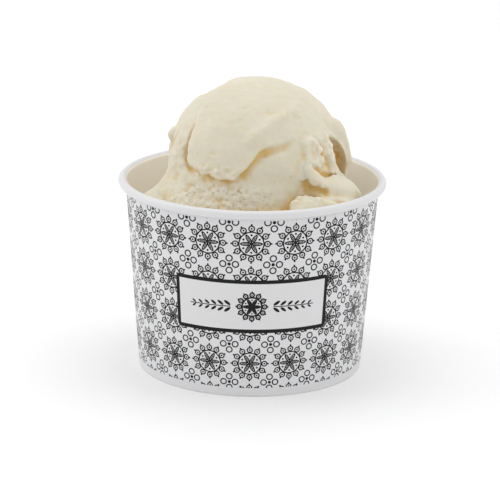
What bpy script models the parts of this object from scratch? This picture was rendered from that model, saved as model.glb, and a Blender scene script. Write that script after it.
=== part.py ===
"""A gelato cup: a paper cup with a rolled rim, filled with vanilla ice cream under one large scoop."""

import math

import bmesh
import bpy
import numpy as np

# Driving dimensions of the cup, in metres
RIM_DIAMETER = 0.090
FOOT_DIAMETER = 0.0753
CUP_HEIGHT = 0.0654
BOARD = 0.0005
ROLL_RADIUS = 0.00145
HEM_HEIGHT = 0.0055
BASE_HEIGHT = 0.0065
GAP = 0.0003
ROLL_END = -108
ROLL_STEPS = 8
ROUND_STEPS = 56
MERGE = 0.00001

# Driving dimensions of the ice cream
MM = 0.001
SCOOP_CENTRE = np.array((0.0016, 0.0, 0.0690))
SCOOP_RADIUS = 0.0300
SEAT_HEIGHT = 0.0455
GRID = 0.0010
SCOOP_TRIANGLES = 4400
FILLING_TRIANGLES = 3000

ICE_CREAM = (0.75, 0.69, 0.54)
PAPER = (0.80, 0.80, 0.80)

FAR = 1.0
rim_radius = RIM_DIAMETER / 2
roll_centre = rim_radius - ROLL_RADIUS
neck_height = CUP_HEIGHT - ROLL_RADIUS
neck_radius = roll_centre - ROLL_RADIUS + BOARD
foot_radius = FOOT_DIAMETER / 2


def wall_radius(height):
    """Outer radius of the side wall, which is a plain cone from foot to rim."""
    return foot_radius + (neck_radius - foot_radius) * height / neck_height


def smooth_min(a, b, blend):
    """The lower of two fields, with a fillet where they meet."""
    near = np.maximum(blend - np.abs(a - b), 0.0) / blend
    return np.minimum(a, b) - near * near * blend / 4


def smooth_max(a, b, blend):
    return -smooth_min(-a, -b, blend)


def direction(turn, rise):
    """Unit vector from the scoop's centre: turn from the front toward +X, rise above the level."""
    t = math.radians(turn)
    r = math.radians(rise)
    return np.array((math.sin(t) * math.cos(r), -math.cos(t) * math.cos(r), math.sin(r)))


def on_scoop(turn, rise, lift=0.0):
    """A point over the scoop's surface, lifted by so many millimetres."""
    return SCOOP_CENTRE + (SCOOP_RADIUS + lift * MM) * direction(turn, rise)


def trail(stops, steps=4):
    """A smooth curve through the stops, with so many steps between two of them."""
    p = np.array(stops, float)
    p = np.vstack([2 * p[0] - p[1], p, 2 * p[-1] - p[-2]])
    curve = []
    for a, b, c, d in zip(p[:-3], p[1:-2], p[2:-1], p[3:]):
        for t in np.arange(steps) / steps:
            bend = (2 * a - 5 * b + 4 * c - d) * t * t + (3 * b - a - 3 * c + d) * t ** 3
            curve.append(0.5 * (2 * b + (c - a) * t + bend))
    curve.append(p[-2])
    return np.array(curve)


class Lump:
    """An ellipsoid: its middle and its three radii, both in millimetres."""

    def __init__(self, middle, radii):
        self.middle = np.array(middle, float) * MM
        self.radii = np.broadcast_to(np.array(radii, float) * MM, 3)
        self.low = self.middle - self.radii
        self.high = self.middle + self.radii

    def distance(self, place):
        offset = [p - m for p, m in zip(place, self.middle)]
        k0 = np.sqrt(sum((o / r) ** 2 for o, r in zip(offset, self.radii)))
        k1 = np.sqrt(sum((o / (r * r)) ** 2 for o, r in zip(offset, self.radii)))
        return k0 * (k0 - 1) / np.maximum(k1, 1.0)


class Roll:
    """A rounded roll through points, with a radius at each."""

    def __init__(self, points, radii):
        curve = trail(np.column_stack([points, radii]))
        self.line = curve[:, :3]
        self.radii = np.maximum(curve[:, 3], 0.1 * MM)
        self.low = self.line.min(0) - self.radii.max()
        self.high = self.line.max(0) + self.radii.max()

    def distance(self, place):
        found = FAR
        for a, b, ra, rb in zip(self.line[:-1], self.line[1:], self.radii[:-1], self.radii[1:]):
            run = b - a
            along = sum((p - s) * r for p, s, r in zip(place, a, run)) / (run @ run)
            along = np.clip(along, 0.0, 1.0)
            away = np.sqrt(sum((p - s - along * r) ** 2 for p, s, r in zip(place, a, run)))
            found = np.minimum(found, away - ra - along * (rb - ra))
        return found


def scoop_roll(*stops):
    """A roll laid on the scoop: each stop is turn, rise in degrees, lift and radius in millimetres."""
    return Roll([on_scoop(*stop[:3]) for stop in stops], [stop[3] * MM for stop in stops])


def free_roll(*stops):
    """A roll through free points: each stop is x, y, z and radius in millimetres."""
    return Roll([np.array(stop[:3]) * MM for stop in stops], [stop[3] * MM for stop in stops])


class Clay:
    """A block of signed distances that shapes are joined to and carved from."""

    def __init__(self, low, high, step):
        self.low = np.array(low, float)
        self.step = step
        counts = np.ceil((np.array(high) - self.low) / step).astype(int) + 1
        self.field = np.full(counts, FAR, np.float32)

    def near(self, low, high):
        """The part of the block between two corners: its slices, and its x, y and z."""
        first = np.floor((np.array(low) - self.low) / self.step).astype(int)
        last = np.ceil((np.array(high) - self.low) / self.step).astype(int) + 1
        first = np.clip(first, 0, self.field.shape)
        last = np.clip(last, 0, self.field.shape)
        window = tuple(slice(a, b) for a, b in zip(first, last))
        axes = [start + self.step * np.arange(a, b) for start, a, b in zip(self.low, first, last)]
        return window, np.meshgrid(*axes, indexing="ij", sparse=True)

    def join(self, shape, blend=1.0):
        room = blend * MM + 3 * self.step
        window, place = self.near(shape.low - room, shape.high + room)
        self.field[window] = smooth_min(self.field[window], shape.distance(place), blend * MM)

    def carve(self, shape, blend=1.0):
        room = blend * MM + 3 * self.step
        window, place = self.near(shape.low - room, shape.high + room)
        self.field[window] = smooth_max(self.field[window], -shape.distance(place), blend * MM)

    def fold(self, edge, layer, lean, soften=1.4, crease=0.8):
        """A layer that ends in a rolled edge: each stop of the edge is turn and rise in degrees.

        The layer lies to the left of the edge, seen from outside and going along it. The lean
        makes the edge hang over what is below it."""
        line = np.array([direction(turn, rise) for turn, rise in trail(edge)])
        window, place = self.near(layer.low - MM, layer.high + MM)
        field = self.field[window]
        ray = [p - c for p, c in zip(place, SCOOP_CENTRE)]
        size = np.sqrt(sum(r * r for r in ray)) + 1e-9
        ray = [r / size for r in ray]
        reach = np.full(size.shape, 9.0)
        side = np.zeros(size.shape)
        for a, b in zip(line[:-1], line[1:]):
            run = b - a
            along = np.clip(sum((p - s) * r for p, s, r in zip(ray, a, run)) / (run @ run), 0.0, 1.0)
            away = np.sqrt(sum((p - s - along * r) ** 2 for p, s, r in zip(ray, a, run)))
            beyond = sum(p * n for p, n in zip(ray, np.cross(a, b)))
            side = np.where(away < reach, np.sign(beyond), side)
            reach = np.minimum(reach, away)
        reach = reach * side * SCOOP_RADIUS + lean * np.clip(field, -2 * MM, 4 * MM)
        cut = smooth_max(layer.distance(place), -reach, soften * MM)
        self.field[window] = smooth_min(field, cut, crease * MM)

    def skin(self):
        """Wrap the clay in quads, with one corner in each cell that its surface crosses."""
        rings = []
        crossings = []
        for axis in range(3):
            lower = np.moveaxis(self.field, axis, 0)[:-1]
            upper = np.moveaxis(self.field, axis, 0)[1:]
            found = np.nonzero((lower < 0) != (upper < 0))
            a = lower[found]
            b = upper[found]
            place = np.insert(np.stack(found[1:], axis=1), axis, found[0], axis=1).astype(float)
            u = np.eye(3)[(axis + 1) % 3]
            v = np.eye(3)[(axis + 2) % 3]
            ring = place[:, None, :] - np.array([0 * u, u, u + v, v])
            ring[a >= 0] = ring[a >= 0][:, ::-1]
            place[:, axis] += a / (a - b)
            rings.append(ring.reshape(-1, 3).astype(int))
            crossings.append(np.repeat(place, 4, axis=0))
        cells = np.ravel_multi_index(np.concatenate(rings).T, self.field.shape)
        crossings = np.concatenate(crossings)
        _, corner = np.unique(cells, return_inverse=True)
        corner = corner.ravel()
        count = np.bincount(corner)
        points = [np.bincount(corner, crossings[:, i]) / count for i in range(3)]
        return self.low + self.step * np.stack(points, axis=1), corner.reshape(-1, 4)


def new_block(step=GRID):
    """Clay that is large enough for all that lies in the cup and stands over it."""
    low = (-rim_radius, -rim_radius, BASE_HEIGHT - 2 * MM)
    high = (rim_radius, rim_radius, SCOOP_CENTRE[2] + SCOOP_RADIUS + 6 * MM)
    return Clay(low, high, step)


FOLD_EDGE = (
    (-58, 84), (-54, 62), (-52, 44), (-50.5, 33), (-50, 27), (-49.5, 22), (-49, 17), (-47.5, 12), (-45, 9),
    (-40, 7), (-31, 5.8), (-22, 4.8), (-16, 5.5), (-11, 9), (-6, 14), (-1, 20), (3, 24), (8, 26),
    (14, 25.5), (20, 27), (26, 30.5), (33, 34), (42, 38), (56, 48), (72, 62))


def shape_scoop(clay):
    """The scoop: a ball whose outer layer rolls over to the front in a lobe with a hanging edge."""
    clay.join(Lump(SCOOP_CENTRE / MM + (0.6, 0.0, 0.0), (29.4, 29.2, 29.5)))
    clay.join(Lump(SCOOP_CENTRE / MM + (-2.0, 0.4, 1.8), 28.0))
    clay.carve(scoop_roll((-155, 46, 6.2, 6.0), (-118, 56, 6.0, 6.0), (-80, 62, 6.4, 6.0)), 4.0)
    add_skirt(clay)
    add_left_side(clay)
    clay.fold(FOLD_EDGE, Lump(SCOOP_CENTRE / MM + (-2.4, -3.0, 2.2), 27.6), 0.45)
    clay.join(scoop_roll((-60, 62, -6.4, 7.6), (-61, 52, -6.2, 7.8), (-63, 42, -6.4, 7.8), (-65, 34, -7.6, 7.5)),
              4.0)
    open_fold(clay)
    add_right_lobe(clay)
    add_crags(clay)
    add_back(clay)
    open_right(clay)
    flatten_seat(clay)


def add_skirt(clay):
    """The thicker band round the foot of the scoop, pressed out at the front and the left."""
    clay.join(scoop_roll((-80, -12, -5, 4), (-60, -9, -5, 5.8), (-42, -10, -4.5, 6.2), (-25, -12, -4.5, 6.2),
                         (-8, -13, -4.5, 6), (10, -13, -4.5, 5.5), (28, -15, -4.5, 4.5)), 5.0)
    clay.join(scoop_roll((-70, -24, -4.4, 6), (-45, -24, -2.8, 6.2), (-20, -24, -2.2, 6.2), (6, -24, -2.4, 6),
                         (30, -24, -3.6, 5.5)), 4.0)
    clay.join(free_roll((-21.5, -6, 70, 5.5), (-24, -8, 66.5, 4.6), (-27, -10.5, 62.5, 4.6), (-29, -12, 56, 6)),
              3.5)
    clay.join(free_roll((-25, -11, 63.5, 4.2), (-23.5, -16, 61.5, 5), (-20, -21, 60, 5.4), (-14, -24, 58, 5.4)),
              4.0)


def add_left_side(clay):
    """The smooth column down the left and the small knob on its edge."""
    clay.join(scoop_roll((-84, 46, -6.0, 3.0), (-78, 36, -3.8, 3.6), (-71, 24, -3.0, 4.0), (-67, 12, -3, 4.0),
                         (-66, 0, -3.4, 4.2), (-68, -12, -3.4, 4.6)), 2.0)
    clay.carve(scoop_roll((-70, 31, 1.2, 0.5), (-70, 26, 0.4, 1.2), (-72, 21, 0.0, 1.6), (-76, 16, -0.2, 1.7),
                          (-84, 13, -0.2, 1.6), (-92, 13, 0.2, 1.2)), 0.7)
    clay.join(scoop_roll((-78, 29, -0.4, 1.2), (-80, 25, 0.1, 2.0), (-84, 21, 0.3, 2), (-87, 18, -0.4, 1.3)), 0.4)


def open_fold(clay):
    """The crease and the pit at the fold's left end, and the shadow gap below its edge."""
    clay.carve(scoop_roll((-52, 31, 1.7, 0.3), (-52, 28, 0.9, 1.0), (-52, 25, 0.6, 1.1), (-52, 21, 0.9, 0.8)),
               0.8)
    clay.carve(scoop_roll((-53, 19, 0.4, 1), (-53.5, 15, -1.2, 2.1), (-52, 11, -1.8, 2.3), (-48, 7.5, -0.4, 1.5),
                          (-42, 5.5, 0.9, 0.8)), 0.5)
    clay.carve(scoop_roll((-46, 6, 1.0, 0.8), (-40, 4.5, 1.0, 0.6), (-28, 2.6, 1.0, 0.6), (-18, 2.6, 0.7, 0.8),
                          (-10, 6.5, 0.2, 0.9), (-1, 17, 0, 1.2), (5, 22.5, -0.6, 1.9), (12, 24, -0.1, 1.4),
                          (19, 25.5, 0.2, 0.9), (27, 29.5, 0.5, 0.5)), 1.3)


def add_right_lobe(clay):
    """The lobe that hangs down the right, with a deep crevice between it and the ball."""
    clay.carve(scoop_roll((63, 27, 0.8, 0.6), (65, 22, -1.0, 2.4), (68, 15, -3.0, 4.6), (73, 8, -3.6, 5.2),
                          (80, 1, -3.0, 4.0)), 0.7)
    clay.join(scoop_roll((72, 33, -4.2, 3.6), (77, 31, -1.8, 3.8), (83, 26, -0.9, 3.0), (88, 16, -0.9, 2.3),
                         (88, 5, -0.4, 2.0)), 1.0)


def add_crags(clay):
    """Torn lumps on the right of the front, over a dark crevice."""
    draw = np.random.default_rng(7)
    for _ in range(30):
        turn = draw.uniform(36, 60)
        rise = draw.uniform(10, 30)
        spot = on_scoop(turn, rise, draw.uniform(-2.0, -0.8)) / MM
        clay.join(Lump(spot, draw.uniform(1.1, 2.2, 3)), 0.9)
    clay.join(scoop_roll((44, 32, -1.2, 0.9), (46, 27, -0.6, 1.1), (46, 21, -0.3, 1.1), (45, 15, -0.3, 1)), 1.4)
    clay.join(scoop_roll((55, 31, -1.2, 0.9), (57, 25, -0.5, 1.2), (57, 18, -0.2, 1.2), (54, 11, -0.4, 1)), 1.4)
    clay.carve(scoop_roll((50, 30, 1.1, 0.4), (51, 26, 1.1, 0.7), (50, 21, 1.2, 0.4)), 0.9)
    clay.carve(scoop_roll((40, 24, 1.2, 0.4), (40, 20, 1.0, 0.7), (39, 16, 1.0, 0.6)), 0.9)


def add_back(clay):
    """The back, as a scoop leaves it: a soft slanting fold over a thicker, uneven foot."""
    clay.join(scoop_roll((112, 40, -4.6, 3), (138, 26, -3.9, 4), (165, 12, -3.8, 4.4), (192, 0, -4.2, 4.4),
                         (214, -12, -4.6, 4)), 3.5)
    clay.join(scoop_roll((100, -14, -5, 4), (124, -9, -4.8, 5.4), (150, -12, -4.4, 5.4), (178, -16, -4.6, 5.2),
                         (206, -10, -5, 5.4), (238, -13, -5, 5)), 4.0)
    clay.carve(scoop_roll((128, 9, 1.2, 0.6), (146, 2, 0.8, 1.0), (162, -3, 1.0, 0.8)), 2.0)


def flatten_seat(clay):
    """The underside, flattened where the scoop was pressed into the filling."""
    window, place = clay.near(clay.low, clay.low + clay.step * np.array(clay.field.shape))
    clay.field[window] = smooth_max(clay.field[window], SEAT_HEIGHT - place[2], 6 * MM)


def open_right(clay):
    """The crevice below the torn part, and the hollow and the groove between the lumps on the right."""
    clay.carve(scoop_roll((29, 3, 1.4, 0.5), (31, 1, 0.4, 1.5), (33.5, -0.5, 0.8, 1.4), (37, -1.5, 2.4, 1),
                          (41, -3, 4.2, 0.8)), 1.2)
    clay.carve(free_roll((20, -29, 68.6, 1.2), (23.5, -29.5, 67.9, 1.2), (27, -29, 66, 1.1), (30, -28, 63.5, 0.9)),
               1.6)
    clay.carve(scoop_roll((37, 11.5, 0.9, 0.4), (40, 9, 0.4, 0.9), (44, 6.5, -0.1, 1.5), (49, 4.5, 0, 1.3),
                          (56, 3, 0.4, 0.7)), 0.8)


def shape_filling(clay, scoop):
    """The ice cream that fills the cup below the scoop, with the lumps pressed up beside it."""
    clay.join(Lump((2, 2, -50), (180, 180, 100)), 1.0)
    clay.join(free_roll((-36, 4, 47, 5), (-27, 26, 48, 6), (-8, 36, 46, 6), (14, 35, 48.5, 5), (31, 22, 47, 6),
                        (37, 2, 50, 5)), 6.0)
    clay.join(free_roll((-34, -14, 51, 8), (-26, -25, 51.5, 8), (-10, -33, 52, 7), (10, -33, 53, 7),
                        (24, -28, 55, 8)), 6.0)
    clay.join(free_roll((-35, -5, 52.5, 4), (-33.5, -10, 58, 3.6), (-32, -14, 60, 3), (-28.5, -18, 57, 4)), 4.0)
    clay.join(free_roll((18, -24.5, 74.5, 1.2), (20.5, -24.5, 71, 2), (23, -22.5, 67, 4.2), (26.5, -19, 64.3, 6.5),
                        (30, -14, 61.5, 6.5), (32, -9, 56, 6)), 2.0)
    clay.join(free_roll((15, -34.5, 60.8, 3.4), (19, -32, 62.8, 4.1), (26, -28, 61.5, 4.8),
                        (31.5, -22, 59.5, 4.5)), 1.6)
    open_right(clay)
    window, place = clay.near(clay.low, clay.low + clay.step * np.array(clay.field.shape))
    across = np.sqrt(place[0] ** 2 + place[1] ** 2)
    slope = (neck_radius - foot_radius) / neck_height
    lean = math.sqrt(1 + slope * slope)
    inner = wall_radius(place[2]) - BOARD - 1.5 * GAP
    clay.field[window] = smooth_max(clay.field[window], (across - inner) / lean, 0.6 * MM)
    floor = BASE_HEIGHT + BOARD + GAP
    clay.field[window] = smooth_max(clay.field[window], floor - place[2], 0.6 * MM)
    clay.field[window] = smooth_max(clay.field[window], 1.6 * GAP - scoop.field[window], 1.6 * MM)


def new_material(name, colour, roughness):
    material = bpy.data.materials.new(name)
    material.use_nodes = True
    shader = material.node_tree.nodes["Principled BSDF"]
    shader.inputs["Base Color"].default_value = (*colour, 1.0)
    shader.inputs["Roughness"].default_value = roughness
    shader.inputs["Metallic"].default_value = 0.0
    return material


def new_object(name, mesh, material, parent):
    mesh.materials.append(material)
    piece = bpy.data.objects.new(name, mesh)
    piece.parent = parent
    collection.objects.link(piece)
    return piece


def turned(name, profile, closed, material, parent):
    """A profile of radii and heights, turned round the Z axis."""
    mesh = bpy.data.meshes.new(name)
    corners = [(radius, 0.0, height) for radius, height in profile]
    edges = [(i, i + 1) for i in range(len(corners) - 1)]
    if closed:
        edges.append((len(corners) - 1, 0))
    mesh.from_pydata(corners, edges, [])
    piece = new_object(name, mesh, material, parent)
    screw = piece.modifiers.new("Turn", "SCREW")
    screw.steps = ROUND_STEPS
    screw.render_steps = ROUND_STEPS
    screw.use_merge_vertices = True
    screw.merge_threshold = MERGE
    return piece


def make_wall(material, parent):
    """The side wall: one sheet of board, curled out into a roll at the rim and folded in at the foot."""
    stack = 3 * BOARD + 2 * GAP
    profile = [
        (foot_radius + 0.02 * BOARD, 0.6 * BOARD),
        (foot_radius - 0.6 * BOARD, 0.0),
        (foot_radius - stack, 0.0),
        (wall_radius(HEM_HEIGHT) - stack, HEM_HEIGHT),
        (wall_radius(HEM_HEIGHT) - stack + BOARD, HEM_HEIGHT),
        (wall_radius(BOARD) - stack + BOARD, BOARD),
        (wall_radius(BOARD) - BOARD, BOARD),
    ]
    angles = [math.radians(180 + (ROLL_END - 180) * i / ROLL_STEPS) for i in range(ROLL_STEPS + 1)]
    for radius, turns in ((ROLL_RADIUS, angles), (ROLL_RADIUS - BOARD, reversed(angles))):
        for angle in turns:
            profile.append((roll_centre + radius * math.cos(angle), neck_height + radius * math.sin(angle)))
    return turned("cup_wall", profile, True, material, parent)


def make_base(material, parent):
    """The bottom disc, set up inside the foot, with a skirt that stands in the wall's fold."""
    top = BASE_HEIGHT + BOARD
    skirt_foot = BOARD + GAP
    inset = BOARD + GAP
    profile = [
        (0.0, top),
        (wall_radius(top) - inset, top),
        (wall_radius(skirt_foot) - inset, skirt_foot),
        (wall_radius(skirt_foot) - inset - BOARD, skirt_foot),
        (wall_radius(BASE_HEIGHT) - inset - BOARD, BASE_HEIGHT),
        (0.0, BASE_HEIGHT),
    ]
    return turned("cup_base", profile, False, material, parent)


def drop_scraps(mesh):
    """Keep the largest closed body, without loose crumbs and sealed hollows."""
    shape = bmesh.new()
    shape.from_mesh(mesh)
    left = set(shape.verts)
    bodies = []
    while left:
        front = [left.pop()]
        body = list(front)
        while front:
            corner = front.pop()
            for edge in corner.link_edges:
                other = edge.other_vert(corner)
                if other in left:
                    left.remove(other)
                    front.append(other)
                    body.append(other)
        bodies.append(body)
    bodies.sort(key=len)
    for body in bodies[:-1]:
        bmesh.ops.delete(shape, geom=body, context="VERTS")
    shape.to_mesh(mesh)
    shape.free()


def make_ice_cream(name, clay, triangles, material, parent):
    """A piece of ice cream from its clay, thinned to about so many triangles."""
    mesh = bpy.data.meshes.new(name)
    corners, quads = clay.skin()
    mesh.from_pydata(corners.tolist(), [], quads.tolist())
    drop_scraps(mesh)
    mesh.shade_smooth()
    piece = new_object(name, mesh, material, parent)
    even = piece.modifiers.new("Even skin", "REMESH")
    even.mode = "VOXEL"
    even.voxel_size = GRID
    thin = piece.modifiers.new("Fewer faces", "DECIMATE")
    thin.ratio = triangles / (2 * len(mesh.polygons))
    return piece


def clear_scene():
    for item in list(bpy.data.objects):
        bpy.data.objects.remove(item)


def build():
    """Make every piece of the cup and its ice cream under one empty."""
    root = bpy.data.objects.new("gelato_cup", None)
    collection.objects.link(root)
    paper = new_material("paper", PAPER, 0.35)
    ice_cream = new_material("ice_cream", ICE_CREAM, 0.6)
    make_wall(paper, root)
    make_base(paper, root)
    scoop = new_block()
    shape_scoop(scoop)
    filling = new_block()
    shape_filling(filling, scoop)
    make_ice_cream("scoop_top", scoop, SCOOP_TRIANGLES, ice_cream, root)
    make_ice_cream("scoop_lower", filling, FILLING_TRIANGLES, ice_cream, root)


if __name__ == "__main__":
    clear_scene()
    collection = bpy.data.collections.new("gelato_cup")
    bpy.context.scene.collection.children.link(collection)
    build()
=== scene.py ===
"""Looks of a gelato cup: a printed paper cup, filled with vanilla ice cream under one large scoop."""

import math

import bmesh
import bpy
import numpy as np
from bpy.props import FloatProperty, FloatVectorProperty, IntProperty, PointerProperty
from mathutils import Matrix, Vector


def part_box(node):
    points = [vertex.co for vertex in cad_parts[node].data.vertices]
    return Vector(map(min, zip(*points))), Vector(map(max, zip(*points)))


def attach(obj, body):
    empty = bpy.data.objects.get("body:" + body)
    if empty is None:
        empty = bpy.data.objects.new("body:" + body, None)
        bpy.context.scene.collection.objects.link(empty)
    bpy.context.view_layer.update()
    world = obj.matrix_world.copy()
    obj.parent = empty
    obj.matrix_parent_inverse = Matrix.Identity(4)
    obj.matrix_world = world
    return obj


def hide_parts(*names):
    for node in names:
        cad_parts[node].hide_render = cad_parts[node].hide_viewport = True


bl_info = {
    "name": "Gelato Cup",
    "version": (1, 0, 0),
    "blender": (4, 5, 0),
    "location": "3D View > Sidebar > Gelato Cup",
    "description": "Makes a printed paper cup of vanilla ice cream and the stage it stands on",
    "category": "Add Mesh",
}

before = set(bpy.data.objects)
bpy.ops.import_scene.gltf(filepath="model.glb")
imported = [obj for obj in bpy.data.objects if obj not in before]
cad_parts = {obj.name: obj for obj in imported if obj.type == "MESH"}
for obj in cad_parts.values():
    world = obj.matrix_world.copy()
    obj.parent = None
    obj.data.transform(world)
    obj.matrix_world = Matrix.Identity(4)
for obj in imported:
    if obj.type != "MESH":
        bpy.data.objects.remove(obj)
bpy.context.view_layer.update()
wall_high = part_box("cup_wall")[1]
base_low, base_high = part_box("cup_base")
scoop_low, scoop_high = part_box("scoop_top")

# Lengths are in metres.
MM = 0.001
FAR = 1.0
SCOOP_CENTRE = np.array((0.0016, 0.0, 0.0690))
SCOOP_RADIUS = 0.0300
SCOOP_BLEND = 0.0035
SEAM_GAP = 0.0002
WALL_GAP = 0.00008
BASE_GAP = 0.0002
FOLD_GAP = 0.0003
HIDDEN_BELOW = 0.046
# Points lying deeper than this below the scoop's surface get painted shade in the ice cream's colour,
# growing over the span below.
SUNK_RADIUS = 0.0286
SUNK_SPAN = 0.0030
PANEL_SHIFT = math.radians(0.7)
AIM_SHARE = 0.4736


def length(name, description, default):
    return FloatProperty(name=name, description=description, default=default, subtype="DISTANCE",
                         unit="LENGTH", precision=6)


def angle(name, description, degrees):
    return FloatProperty(name=name, description=description, default=math.radians(degrees),
                         subtype="ANGLE", unit="ROTATION")


def colour(name, description, default):
    return FloatVectorProperty(name=name, description=description, default=default, subtype="COLOR",
                               min=0.0, max=1.0)


class CupSizes(bpy.types.PropertyGroup):
    """The paper cup's sizes."""

    rim_diameter: length("Rim diameter", "Across the rolled rim", 2 * wall_high.x)
    foot_diameter: length("Foot diameter", "Across the bottom edge of the wall", 0.0753)
    height: length("Height", "From the table to the top of the rim", wall_high.z)
    board: length("Board", "Thickness of the paper board", 0.0005)
    roll: length("Roll radius", "Radius of the rolled rim", 0.00145)
    hem: length("Hem height", "Height of the board folded in at the foot", 0.0055)
    lap: length("Lap", "Width of the glued seam down the back", 0.007)
    steps: IntProperty(name="Round steps", description="Faces round the cup", default=240, min=48)


class PrintSettings(bpy.types.PropertyGroup):
    """The black print on the cup's white board."""

    paper: colour("Paper", "White of the coated board", (0.72, 0.72, 0.73))
    # Painted light: the inner face is lighter and warmer than the same board outside, standing in for warm
    # light bounced from the ice cream into the shaded cup.
    inside: colour("Inside", "Warmer white of the board's inner face", (1.0, 0.955, 0.885))
    ink: colour("Ink", "Black of the print", (0.004, 0.004, 0.004))
    columns: IntProperty(name="Columns", description="Rosettes round the cup", default=18, min=3)
    line: length("Line", "Width of the print's thin lines", 0.00044)
    low: length("Print starts", "Height where the print starts", 0.0031)
    high: length("Print ends", "Height where the print ends", 0.0616)
    panel_turn: angle("Panel half width", "Turn from the panel's middle to its side edge", 37.7)
    panel_low: length("Panel bottom", "Height of the panel's lower edge", 0.0226)
    panel_high: length("Panel top", "Height of the panel's upper edge", 0.0411)
    outline: length("Panel outline", "Width of the panel's outline", 0.0013)


class CreamSettings(bpy.types.PropertyGroup):
    """The ice cream's colours and the fineness of its surface."""

    cream: colour("Cream", "Colour of the open surface", (0.69, 0.64, 0.50))
    # Painted shade: the warm amber laid into folds, crevices and deep parts, standing in for shade and the
    # warm light scattered there.
    hollow: colour("Hollow", "Colour deep in folds and crevices", (0.74, 0.50, 0.17))
    # Painted shade: the darker colour in the small pores and pits, where shade falls inside them.
    pore_shade: colour("Pore", "Colour in the small pores", (0.52, 0.42, 0.24))
    # Painted highlight: the lighter colour on the tips that stick out where it is porous or torn, and
    # painted light over the whole porous band.
    crest_highlight: colour("Crest", "Colour of the frosty tips where it is torn", (0.80, 0.78, 0.70))
    grid: length("Grid", "Size of the smallest relief", 0.00043)
    grain: length("Grain", "Depth of the fine grain", 0.00022)


class StageSettings(bpy.types.PropertyGroup):
    """The camera, the floor and the even light."""

    focal_length: FloatProperty(
        name="Focal length", description="Lens in millimetres on a 36 mm sensor", default=226.0)
    distance: length("Distance", "From the camera to the middle of the cup", 1.0634)
    elevation: angle("Elevation", "How far the camera looks down", 16.844)
    tilt: angle("Tilt", "The camera points this far over the cup's middle", 0.439)
    pan: angle("Pan", "The camera points this far left of the cup's middle", 0.0245)
    roll: angle("Roll", "The picture's slight turn", 0.897)
    floor_size: length("Floor size", "Width of the floor", 8.0)
    floor: colour("Floor", "Colour of the floor", (0.96, 0.96, 0.96))
    sky: FloatProperty(name="Sky", description="Strength of the even light all round", default=0.77)


def smooth_min(a, b, blend):
    """The lower of two fields, with a fillet where they meet."""
    near = np.maximum(blend - np.abs(a - b), 0.0) / blend
    return np.minimum(a, b) - near * near * blend / 4


def smooth_max(a, b, blend):
    """The higher of two fields, with a fillet where they meet."""
    return -smooth_min(-a, -b, blend)


def direction(turn, rise):
    """Unit vector from the scoop's centre: turn from the front toward +X, rise above the level."""
    t = math.radians(turn)
    r = math.radians(rise)
    return np.array((math.sin(t) * math.cos(r), -math.cos(t) * math.cos(r), math.sin(r)))


def on_scoop(turn, rise, lift):
    """A point over the scoop's surface, lifted by so many millimetres."""
    return SCOOP_CENTRE + (SCOOP_RADIUS + lift * MM) * direction(turn, rise)


def trail(stops, steps=4):
    """A smooth curve through the stops, with so many steps between two of them."""
    p = np.array(stops, float)
    p = np.vstack([2 * p[0] - p[1], p, 2 * p[-1] - p[-2]])
    curve = []
    for a, b, c, d in zip(p[:-3], p[1:-2], p[2:-1], p[3:]):
        for t in np.arange(steps) / steps:
            bend = (2 * a - 5 * b + 4 * c - d) * t * t + (3 * b - a - 3 * c + d) * t ** 3
            curve.append(0.5 * (2 * b + (c - a) * t + bend))
    curve.append(p[-2])
    return np.array(curve)


def noise(points, size, seed):
    """Smooth random values from -1 to 1 at the points, that change over about the given size."""
    cells = 32
    lattice = np.random.default_rng(seed).uniform(-1, 1, (cells, cells, cells))
    place = np.asarray(points) / size + 100.0
    cell = np.floor(place).astype(int)
    t = place - cell
    t = t * t * (3 - 2 * t)
    value = 0.0
    for corner in np.ndindex(2, 2, 2):
        share = np.prod(np.where(corner, t, 1 - t), axis=-1)
        i, j, k = ((cell + corner) % cells).T
        value = value + share * lattice[i, j, k]
    return value


class Lump:
    """An ellipsoid: its middle and its three radii, or one for all, in millimetres."""

    def __init__(self, middle, radii):
        self.middle = np.array(middle, float) * MM
        self.radii = np.broadcast_to(np.array(radii, float) * MM, 3)
        self.low = self.middle - self.radii
        self.high = self.middle + self.radii

    def distance(self, place):
        offset = [p - m for p, m in zip(place, self.middle)]
        k0 = np.sqrt(sum((o / r) ** 2 for o, r in zip(offset, self.radii)))
        k1 = np.sqrt(sum((o / (r * r)) ** 2 for o, r in zip(offset, self.radii)))
        return k0 * (k0 - 1) / np.maximum(k1, 1.0)


class Roll:
    """A rounded roll through points, with a radius at each."""

    def __init__(self, points, radii):
        curve = trail(np.column_stack([points, radii]))
        self.line = curve[:, :3]
        self.radii = np.maximum(curve[:, 3], 0.1 * MM)
        self.low = self.line.min(0) - self.radii.max()
        self.high = self.line.max(0) + self.radii.max()

    def distance(self, place):
        found = FAR
        for a, b, ra, rb in zip(self.line[:-1], self.line[1:], self.radii[:-1], self.radii[1:]):
            run = b - a
            along = sum((p - s) * r for p, s, r in zip(place, a, run)) / (run @ run)
            along = np.clip(along, 0.0, 1.0)
            away = np.sqrt(sum((p - s - along * r) ** 2 for p, s, r in zip(place, a, run)))
            found = np.minimum(found, away - ra - along * (rb - ra))
        return found


def scoop_roll(*stops):
    """A roll laid on the scoop: each stop is turn, rise in degrees, lift and radius in millimetres."""
    return Roll([on_scoop(*stop[:3]) for stop in stops], [stop[3] * MM for stop in stops])


def free_roll(*stops):
    """A roll through free points: each stop is x, y, z and radius in millimetres."""
    return Roll([np.array(stop[:3]) * MM for stop in stops], [stop[3] * MM for stop in stops])


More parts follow.
